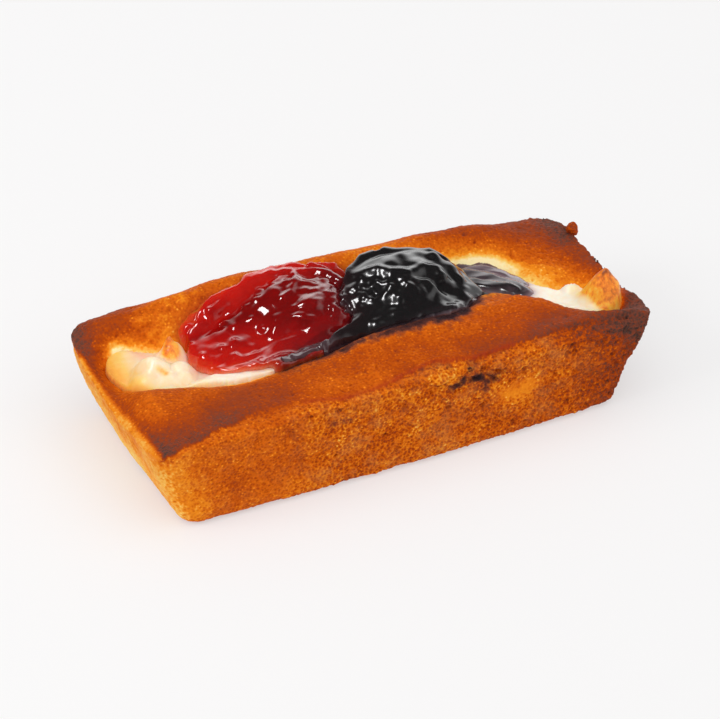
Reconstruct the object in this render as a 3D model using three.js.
// Financier cake: a tapered bar of almond sponge with a trough of baked cream along its top
// and two heaps of jam on the cream. Millimetres, +Z up, X along the bar, -Y is the front side.
// The origin lies under the middle of the flat base.

import * as THREE from 'three';
import { mergeGeometries, mergeVertices } from 'three/addons/utils/BufferGeometryUtils.js';

// The bar, as its tin shaped it
const RIM_LENGTH = 92;
const RIM_WIDTH = 40.2;
const RIM_HEIGHT = 17.3;
const BASE_LENGTH = 82;
const BASE_WIDTH = 35.3;
const CORNER_RADIUS = 2.9;
const BASE_EDGE_RADIUS = 1.4;
const END_BULGE = 1;
const WALL_BULGE = 0.5;
const FRONT_BOW = 0.8;

// Where a size changes along or across the bar, a step says by how much, from where and to where

// The rim leaves its level: both ends sag, the back lifts, and the back right corner drops
const LEFT_END_SAG = { by: -2, from: -31, to: -45 };
const RIGHT_END_SAG = { by: -1.8, from: 31, to: 45 };
const END_SAG_WIDTH = 13;
const END_SAG_PLACE = 2.7;
const BACK_LIFT = { by: 0.9, from: 3, to: 19 };
const BACK_LIFT_ALONG = { by: 1, from: -42, to: -28 };
const CORNER_DROP = { by: -4, from: -13, to: 53 };
const CORNER_DROP_ACROSS = { by: 1, from: -3.3, to: 18.7 };

// Unevenness of the rim and of the top's crust: its height and its wave lengths along and across
const RIM_WAVE = { height: 0.2, along: 20, across: 12 };
const CRUST_WAVE = { height: 0.12, along: 7, across: 8 };
const CRUST_WAVE_FADE = 3;

// The risen top: a front and a back ridge with the trough between them
const FRONT_CREST_HEIGHT = 19.4;
const FRONT_CREST_STEPS = [
  { by: -1.3, from: 0, to: -20 },
  { by: 0.4, from: -25, to: -35 },
  { by: -1.7, from: 24, to: 42 },
];
const FRONT_CREST_REACH = 10.3;
const FRONT_CREST_SLANT = 0.055;
const BACK_CREST_HEIGHT = 21.4;
const BACK_CREST_STEPS = [
  { by: -2.4, from: -18, to: -42 },
  { by: -3.2, from: -2, to: 26 },
  { by: -4, from: 28, to: 48 },
];
const BACK_CREST_PLACE = 16.2;
const TROUGH_HEIGHT = 12.9;
const TROUGH_STEPS = [{ by: 0.7, from: 26, to: 38 }];
const TROUGH_FLAT = 0.22;
const TROUGH_PLACE = 2.4;
const TROUGH_SWINGS = [
  { by: 6, from: -24, to: -44 },
  { by: -11.6, from: 26, to: 40 },
];
const END_SLOPE = 6;
// How the top turns over between ridge and rim: under 1 it is a full round, over 1 it is lean
const SHOULDER = 0.6;
const SHOULDER_TO_ENDS = { by: 0.5, from: 14, to: 38 };

// The walls have closer rows towards the base, and the grid closer lines towards the edges
const ROW_SPREAD = 1.4;
const LINE_SPREAD = 0.28;

// The cream, piped along the trough
const CREAM_LEFT = -43.6;
const CREAM_RIGHT = 44.6;
const CREAM_LEVEL = 15.4;
const CREAM_EDGE = 0.7;
const CREAM_ROUND = 6;
// How far the strip reaches from the middle of the trough to the front and to the back, from its
// left end, then under the jam and to its right end
const CREAM_TO_FRONT = { reach: 9, steps: [{ by: -5.8, from: -20, to: -8 }, { by: 1.2, from: 29, to: 34 }] };
const CREAM_TO_BACK = { reach: 4.6, steps: [{ by: 2.4, from: -20, to: -8 }, { by: -2.4, from: 29, to: 34 }] };
// Each blob or peak has a place, a height over the cream, a radius along X and across, and a
// sharpness: near 1 is a cone, near 2 a dome
const CREAM_BLOBS = [
  { x: -35.4, y: 2.6, height: 2.7, along: 4.3, across: 3.9, sharpness: 1.9 },
  { x: -27, y: -4, height: 1.2, along: 6.6, across: 2.8, sharpness: 1.9 },
  { x: -33.1, y: 7, height: 5, along: 2.4, across: 2.4, sharpness: 1.2 },
  { x: 41.2, y: -9.3, height: 6.1, along: 4.4, across: 4, sharpness: 1.5 },
];

// The red jam: a tilted oval heap, higher towards the back
const RED_MIDDLE = new THREE.Vector2(-14.2, 4.6);
const RED_HALF_LENGTH = 16;
const RED_HALF_WIDTH = 10.6;
const RED_TILT = THREE.MathUtils.degToRad(12);
const RED_SQUARENESS = 2.5;
const RED_DENT = { angle: 222, reach: -2.4, before: 20, after: 20 };
const RED_LEVEL = 17.8;
const RED_HEAP = { x: -8, y: 9, height: 3.5, along: 11, toFront: 8, toBack: 8 };
const RED_LUMPS = { count: 15, seed: 11 };

// The dark jam: a tall heap with a streak to the front left and a tongue to the right
const DARK_MIDDLE = new THREE.Vector2(9.6, 1.6);
const DARK_HALF_LENGTH = 12;
const DARK_HALF_WIDTH = 10;
const DARK_SQUARENESS = 2.4;
const DARK_LEVEL = 19.3;
const DARK_HEAP = { x: 10.6, y: 6.2, height: 4, along: 10.5, toFront: 8.5, toBack: 6.5 };
const DARK_STREAK = { angle: 199, reach: 14, before: 4, after: 15 };
const DARK_TONGUE = { angle: 5, reach: 9, before: 13, after: 13 };
const DARK_LUMPS = { count: 20, seed: 5 };

// Jam turns down steeply at its outline, which is a little wavy, and fruit pieces lift its skin
const JAM_EDGE = 7;
const OUTLINE_WAVE = 0.4;
const LUMP_SPREAD = 0.82;
const LUMP_RADIUS = [1.9, 3.4];
const LUMP_HEIGHT = [0.6, 1.4];

// Where two pieces meet: the gap in height, and how far around a place it holds, which is wider
// where jam lies on the steep edge of other jam
const GAP = 0.3;
const GAP_RING = 0.7;
const JAM_GAP_RING = 1.2;
const RING_PLACES = 8;
const LEAST_THICKNESS = 1.1;
const MERGE_DISTANCE = 1e-3;
const TINY = 1e-6;

// Fineness of the facets
const CAKE_ALONG = 56;
const CAKE_ACROSS = 24;
const CAKE_UP = 9;
const CAKE_AROUND = 2 * (CAKE_ALONG + CAKE_ACROSS);
const CREAM_ALONG = 54;
const CREAM_AROUND = 22;
const RED_FINENESS = [48, 22];
const DARK_FINENESS = [80, 20];

const { lerp } = THREE.MathUtils;

// Rises smoothly from 0 to 1 as t does
function ease(t) {
  return THREE.MathUtils.smoothstep(t, 0, 1);
}

// What a step has added at a place
function stepped(step, place) {
  return step.by * ease((place - step.from) / (step.to - step.from));
}

// What all the steps of a size have added at a place
function allStepped(steps, place) {
  return steps.reduce((sum, step) => sum + stepped(step, place), 0);
}

// Height, from -1 to 1, of a wave of some length at a place
function wave(place, length) {
  return Math.sin((2 * Math.PI * place) / length);
}

// Bell of height 1 at the middle of an oval
function bell(dx, dy) {
  return Math.exp(-(dx * dx + dy * dy));
}

// Repeatable random numbers between 0 and 1
function seededRandom(seed) {
  let state = seed;
  return () => {
    state = (state * 1664525 + 1013904223) % 4294967296;
    return state / 4294967296;
  };
}

// Moves each vertex of a geometry to where its two surface coordinates belong
function shaped(geometry, place) {
  const { position, uv } = geometry.attributes;
  for (let i = 0; i < position.count; i += 1) {
    const point = place(uv.getX(i), uv.getY(i));
    position.setXYZ(i, point.x, point.y, point.z);
  }
  return geometry;
}

// Joins patches that share their borders into one closed skin
function closedSkin(patches) {
  const whole = mergeGeometries(patches);
  whole.deleteAttribute('normal');
  whole.deleteAttribute('uv');
  const skin = mergeVertices(whole, MERGE_DISTANCE);
  skin.computeVertexNormals();
  return skin;
}

// Height of the rim at a place on the edge of the top, or its continuation over the top
function rimHeight(x, y) {
  const endSag = x < 0 ? LEFT_END_SAG : RIGHT_END_SAG;
  const sag = stepped(endSag, x) * bell(0, (y - Math.sign(x) * END_SAG_PLACE) / END_SAG_WIDTH);
  const lift = stepped(BACK_LIFT, y) * stepped(BACK_LIFT_ALONG, x);
  const drop = stepped(CORNER_DROP, x) * stepped(CORNER_DROP_ACROSS, y);
  const uneven = wave(x + 3, RIM_WAVE.along) + 0.7 * wave(y + x / 4, RIM_WAVE.across);
  return RIM_HEIGHT + sag + lift + drop + RIM_WAVE.height * uneven;
}

// The trough runs along the middle and swings to the back at its left end, to the front at its right
function troughMiddle(x) {
  return TROUGH_PLACE + allStepped(TROUGH_SWINGS, x);
}

// The front ridge follows the trough and sinks towards both ends
function frontCrest(x) {
  const reach = FRONT_CREST_REACH - FRONT_CREST_SLANT * x;
  return { y: troughMiddle(x) - reach, z: FRONT_CREST_HEIGHT + allStepped(FRONT_CREST_STEPS, x) };
}

// The back ridge runs close to the rim, highest left of the middle
function backCrest(x) {
  return { y: BACK_CREST_PLACE, z: BACK_CREST_HEIGHT + allStepped(BACK_CREST_STEPS, x) };
}

// Height of the risen top of the cake
function cakeTop(x, y) {
  const halfWidth = RIM_WIDTH / 2;
  const bulge = END_BULGE * (1 - (y / halfWidth) ** 4);
  const middle = troughMiddle(x);
  const crest = y < middle ? frontCrest(x) : backCrest(x);
  const rim = rimHeight(x, y);
  const across = (y - middle) / (crest.y - middle);
  let z;
  if (across < 1) {
    const floor = TROUGH_HEIGHT + allStepped(TROUGH_STEPS, x);
    z = lerp(floor, crest.z, ease((across - TROUGH_FLAT) / (1 - TROUGH_FLAT)));
  } else {
    const outward = (Math.abs(y) - Math.abs(crest.y)) / (halfWidth - Math.abs(crest.y));
    const shoulder = SHOULDER + stepped(SHOULDER_TO_ENDS, Math.abs(x));
    z = lerp(rim, crest.z, (1 - Math.min(1, outward) ** 2) ** shoulder);
  }
  const fromEnd = RIM_LENGTH / 2 + bulge - Math.abs(x);
  const inside = ease(fromEnd / END_SLOPE);
  const uneven = wave(x + y / 2, CRUST_WAVE.along) * wave(y - x / 3, CRUST_WAVE.across);
  const fade = ease((halfWidth - Math.abs(y)) / CRUST_WAVE_FADE);
  return lerp(rim, z + CRUST_WAVE.height * uneven * fade, inside);
}

// Grid lines lie closer together towards the edges
function spaced(t) {
  return t + (LINE_SPREAD * Math.sin(Math.PI * t)) / Math.PI;
}

// Rounds a corner of an oblong: what lies in the corner square moves into its quarter circle
function roundedCorner(x, y, halfLength, halfWidth) {
  const s = (Math.abs(x) - halfLength + CORNER_RADIUS) / CORNER_RADIUS;
  const t = (Math.abs(y) - halfWidth + CORNER_RADIUS) / CORNER_RADIUS;
  if (s <= 0 || t <= 0) {
    return new THREE.Vector3(x, y, 0);
  }
  const alongX = halfLength - CORNER_RADIUS + CORNER_RADIUS * s * Math.sqrt(1 - (t * t) / 2);
  const alongY = halfWidth - CORNER_RADIUS + CORNER_RADIUS * t * Math.sqrt(1 - (s * s) / 2);
  return new THREE.Vector3(Math.sign(x) * alongX, Math.sign(y) * alongY, 0);
}

// A point of the cake's outside: u and v are a place on the oblong from -1 to 1, up is 0 at the
// base and 1 at the rim
function cakePoint(u, v, up, onTop) {
  const alongX = spaced(u);
  const alongY = spaced(v);
  const swell = WALL_BULGE * Math.sin(Math.PI * up);
  const bow = alongY < 0 ? FRONT_BOW * (1 - alongX ** 2) * (1 - up) : 0;
  const bulge = END_BULGE * (1 - alongY ** 4);
  const endSwell = swell + bulge * ease(0.2 + up);
  const halfLength = lerp(BASE_LENGTH, RIM_LENGTH, up) / 2 + endSwell;
  const halfWidth = lerp(BASE_WIDTH, RIM_WIDTH, up) / 2 + swell + bow;
  const x = alongX * halfLength;
  const y = alongY * halfWidth;
  const rim = rimHeight(alongX * (RIM_LENGTH / 2 + bulge), (alongY * RIM_WIDTH) / 2);
  const z = onTop ? cakeTop(x, y) : rim * up;
  const fromBase = Math.max(0, BASE_EDGE_RADIUS - z);
  const inset = BASE_EDGE_RADIUS - Math.sqrt(BASE_EDGE_RADIUS ** 2 - fromBase ** 2);
  const point = roundedCorner(x, y, halfLength, halfWidth);
  point.x *= 1 - inset / halfLength;
  point.y *= 1 - inset / halfWidth;
  point.z = z;
  return point;
}

// A place on the edge of the oblong, from the front left corner and on round, for k grid steps
function edgePlace(k) {
  const back = CAKE_ALONG + CAKE_ACROSS;
  if (k <= CAKE_ALONG) {
    return [(2 * k) / CAKE_ALONG - 1, -1];
  }
  if (k <= back) {
    return [1, (2 * (k - CAKE_ALONG)) / CAKE_ACROSS - 1];
  }
  if (k <= back + CAKE_ALONG) {
    return [1 - (2 * (k - back)) / CAKE_ALONG, 1];
  }
  return [-1, 1 - (2 * (k - back - CAKE_ALONG)) / CAKE_ACROSS];
}

// The flat base inside the lowest ring of the walls, facing down
function cakeBase() {
  const ring = [];
  for (let k = 0; k < CAKE_AROUND; k += 1) {
    const point = cakePoint(...edgePlace(k), 0, false);
    ring.push(new THREE.Vector2(point.x, point.y));
  }
  const base = new THREE.ShapeGeometry(new THREE.Shape(ring));
  base.setIndex(Array.from(base.index.array).reverse());
  return base;
}

// The cake: its risen top, its walls and its base
function makeCake() {
  const top = shaped(new THREE.PlaneGeometry(1, 1, CAKE_ALONG, CAKE_ACROSS), (s, t) =>
    cakePoint(2 * s - 1, 2 * t - 1, 1, true));
  const walls = shaped(new THREE.PlaneGeometry(1, 1, CAKE_AROUND, CAKE_UP), (s, t) =>
    cakePoint(...edgePlace(Math.round(s * CAKE_AROUND)), t ** ROW_SPREAD, false));
  return closedSkin([top, walls, cakeBase()]);
}

// Lowest height a piece may have at a place to clear what lies under it
function clearOf(surfaces, ring) {
  return (x, y) => {
    let highest = -Infinity;
    for (let i = 0; i <= RING_PLACES; i += 1) {
      const away = i === RING_PLACES ? 0 : ring;
      const angle = (2 * Math.PI * i) / RING_PLACES;
      const dx = away * Math.cos(angle);
      const dy = away * Math.sin(angle);
      for (const surface of surfaces) {
        highest = Math.max(highest, surface(x + dx, y + dy));
      }
    }
    return highest + GAP;
  };
}

const creamBed = clearOf([cakeTop], GAP_RING);

// How far the cream strip reaches to one side of the trough. It closes in a round at each end
function creamReach(x, side) {
  const reach = side.reach + allStepped(side.steps, x);
  const fromEnd = Math.min(1, Math.min(x - CREAM_LEFT, CREAM_RIGHT - x) / reach);
  return reach * Math.sqrt(Math.max(0, 1 - (1 - fromEnd) ** 2));
}

// Height of the cream, which has none outside its strip
function creamTop(x, y) {
  const aside = y - troughMiddle(x);
  const reach = creamReach(x, aside < 0 ? CREAM_TO_FRONT : CREAM_TO_BACK);
  const across = reach > 0 ? Math.abs(aside) / reach : 1;
  if (across > 1) {
    return -Infinity;
  }
  const bed = creamBed(x, y);
  let thickness = Math.max(CREAM_EDGE, CREAM_LEVEL - bed);
  for (const blob of CREAM_BLOBS) {
    const away = Math.hypot((x - blob.x) / blob.along, (y - blob.y) / blob.across);
    thickness += blob.height * Math.max(0, 1 - away ** blob.sharpness);
  }
  return bed + thickness * Math.sqrt(1 - across ** CREAM_ROUND);
}

// The cream: a strip that is round in section, flattened on to the trough
function makeCream() {
  const strip = new THREE.SphereGeometry(1, CREAM_AROUND, CREAM_ALONG);
  return closedSkin([shaped(strip, (s, t) => {
    const angle = 2 * Math.PI * s;
    const x = lerp(CREAM_LEFT, CREAM_RIGHT, (spaced(2 * t - 1) + 1) / 2);
    const aside = Math.cos(angle);
    const y = troughMiddle(x) + aside * creamReach(x, aside < 0 ? CREAM_TO_FRONT : CREAM_TO_BACK);
    const upper = Math.sin(angle) > TINY;
    return new THREE.Vector3(x, y, upper ? creamTop(x, y) : creamBed(x, y));
  })]);
}

// A heap of jam over a bed: round its middle the outline gives how far it reaches at each angle,
// and inside it the jam fills up to its crown
function jamHeap(middle, outline, bed, crown) {
  const top = (x, y) => {
    const dx = x - middle.x;
    const dy = y - middle.y;
    const away = Math.hypot(dx, dy) / outline(Math.atan2(dy, dx));
    if (away > 1) {
      return -Infinity;
    }
    const low = bed(x, y);
    const thickness = Math.max(LEAST_THICKNESS, crown(x, y) - low);
    return low + thickness * Math.sqrt(1 - away ** JAM_EDGE);
  };
  const make = (fineness) => {
    const ball = new THREE.SphereGeometry(1, ...fineness);
    return closedSkin([shaped(ball, (s, t) => {
      const angle = 2 * Math.PI * s;
      const steep = Math.PI * (1 - t);
      const away = (Math.sin(steep) + 1 - Math.abs(2 * t - 1)) / 2;
      const x = middle.x + away * outline(angle) * Math.cos(angle);
      const y = middle.y + away * outline(angle) * Math.sin(angle);
      const upper = t > 0.5 + TINY;
      return new THREE.Vector3(x, y, upper ? Math.max(top(x, y), bed(x, y)) : bed(x, y));
    })]);
  };
  return { top, make };
}

// Reach of a squarish oval at an angle from its long side
function ovalReach(angle, halfLength, halfWidth, squareness) {
  const along = Math.abs(Math.cos(angle) / halfLength) ** squareness;
  const across = Math.abs(Math.sin(angle) / halfWidth) ** squareness;
  return (along + across) ** (-1 / squareness);
}

// What a lobe adds to an outline at an angle: it grows over so many degrees before its own
// angle and shrinks over so many after it
function lobeReach(lobe, angle) {
  const turn = THREE.MathUtils.radToDeg(angle) - lobe.angle;
  const away = THREE.MathUtils.euclideanModulo(turn + 180, 360) - 180;
  return lobe.reach * Math.exp(-((away / (away < 0 ? lobe.before : lobe.after)) ** 4));
}

// Fruit pieces under the skin of a heap: low domes at random places of its oval
function fruitLumps(lumps, middle, halfLength, halfWidth, tilt) {
  const random = seededRandom(lumps.seed);
  return Array.from({ length: lumps.count }, () => {
    const away = LUMP_SPREAD * Math.sqrt(random());
    const angle = 2 * Math.PI * random();
    const place = new THREE.Vector2(away * halfLength * Math.cos(angle), away * halfWidth * Math.sin(angle));
    place.rotateAround(new THREE.Vector2(), tilt).add(middle);
    return { place, radius: lerp(...LUMP_RADIUS, random()), height: lerp(...LUMP_HEIGHT, random()) };
  });
}

// How far the highest fruit piece at a place lifts the skin
function lumpHeight(lumps, x, y) {
  let highest = 0;
  for (const lump of lumps) {
    const away = Math.hypot(x - lump.place.x, y - lump.place.y) / lump.radius;
    highest = Math.max(highest, lump.height * Math.max(0, 1 - away * away));
  }
  return highest;
}

// A heap has a broad flat top and steep flanks
function heapHeight(heap, x, y) {
  const across = y < heap.y ? heap.toFront : heap.toBack;
  const away = Math.hypot((x - heap.x) / heap.along, (y - heap.y) / across);
  return heap.height * bell(away * away, 0);
}

const redLumps = fruitLumps(RED_LUMPS, RED_MIDDLE, RED_HALF_LENGTH, RED_HALF_WIDTH, RED_TILT);
const redJam = jamHeap(
  RED_MIDDLE,
  (angle) => {
    const oval = ovalReach(angle - RED_TILT, RED_HALF_LENGTH, RED_HALF_WIDTH, RED_SQUARENESS);
    const waves = OUTLINE_WAVE * (Math.sin(5 * angle + 1) + 0.7 * Math.sin(9 * angle));
    return oval + lobeReach(RED_DENT, angle) + waves;
  },
  clearOf([cakeTop, creamTop], GAP_RING),
  (x, y) => RED_LEVEL + heapHeight(RED_HEAP, x, y) + lumpHeight(redLumps, x, y),
);

const aboveCream = clearOf([cakeTop, creamTop], GAP_RING);
const aboveRed = clearOf([redJam.top], JAM_GAP_RING);
const darkLumps = fruitLumps(DARK_LUMPS, DARK_MIDDLE, DARK_HALF_LENGTH, DARK_HALF_WIDTH, 0);
const darkJam = jamHeap(
  DARK_MIDDLE,
  (angle) => {
    const oval = ovalReach(angle, DARK_HALF_LENGTH, DARK_HALF_WIDTH, DARK_SQUARENESS);
    const waves = OUTLINE_WAVE * (Math.sin(6 * angle + 2) + 0.7 * Math.sin(11 * angle));
    return oval + lobeReach(DARK_STREAK, angle) + lobeReach(DARK_TONGUE, angle) + waves;
  },
  (x, y) => Math.max(aboveCream(x, y), aboveRed(x, y)),
  (x, y) => DARK_LEVEL + heapHeight(DARK_HEAP, x, y) + lumpHeight(darkLumps, x, y),
);

// One named piece of the cake in its own colour
function piece(name, geometry, color, roughness) {
  const mesh = new THREE.Mesh(geometry, new THREE.MeshStandardMaterial({ color, roughness, metalness: 0 }));
  mesh.name = name;
  return mesh;
}

const financier = new THREE.Group();
financier.add(
  piece('cake', makeCake(), '#b4571a', 0.8),
  piece('cream', makeCream(), '#fbe6bb', 0.5),
  piece('red_jam', redJam.make(RED_FINENESS), '#8f1208', 0.15),
  piece('dark_jam', darkJam.make(DARK_FINENESS), '#231619', 0.12),
);

export default financier;
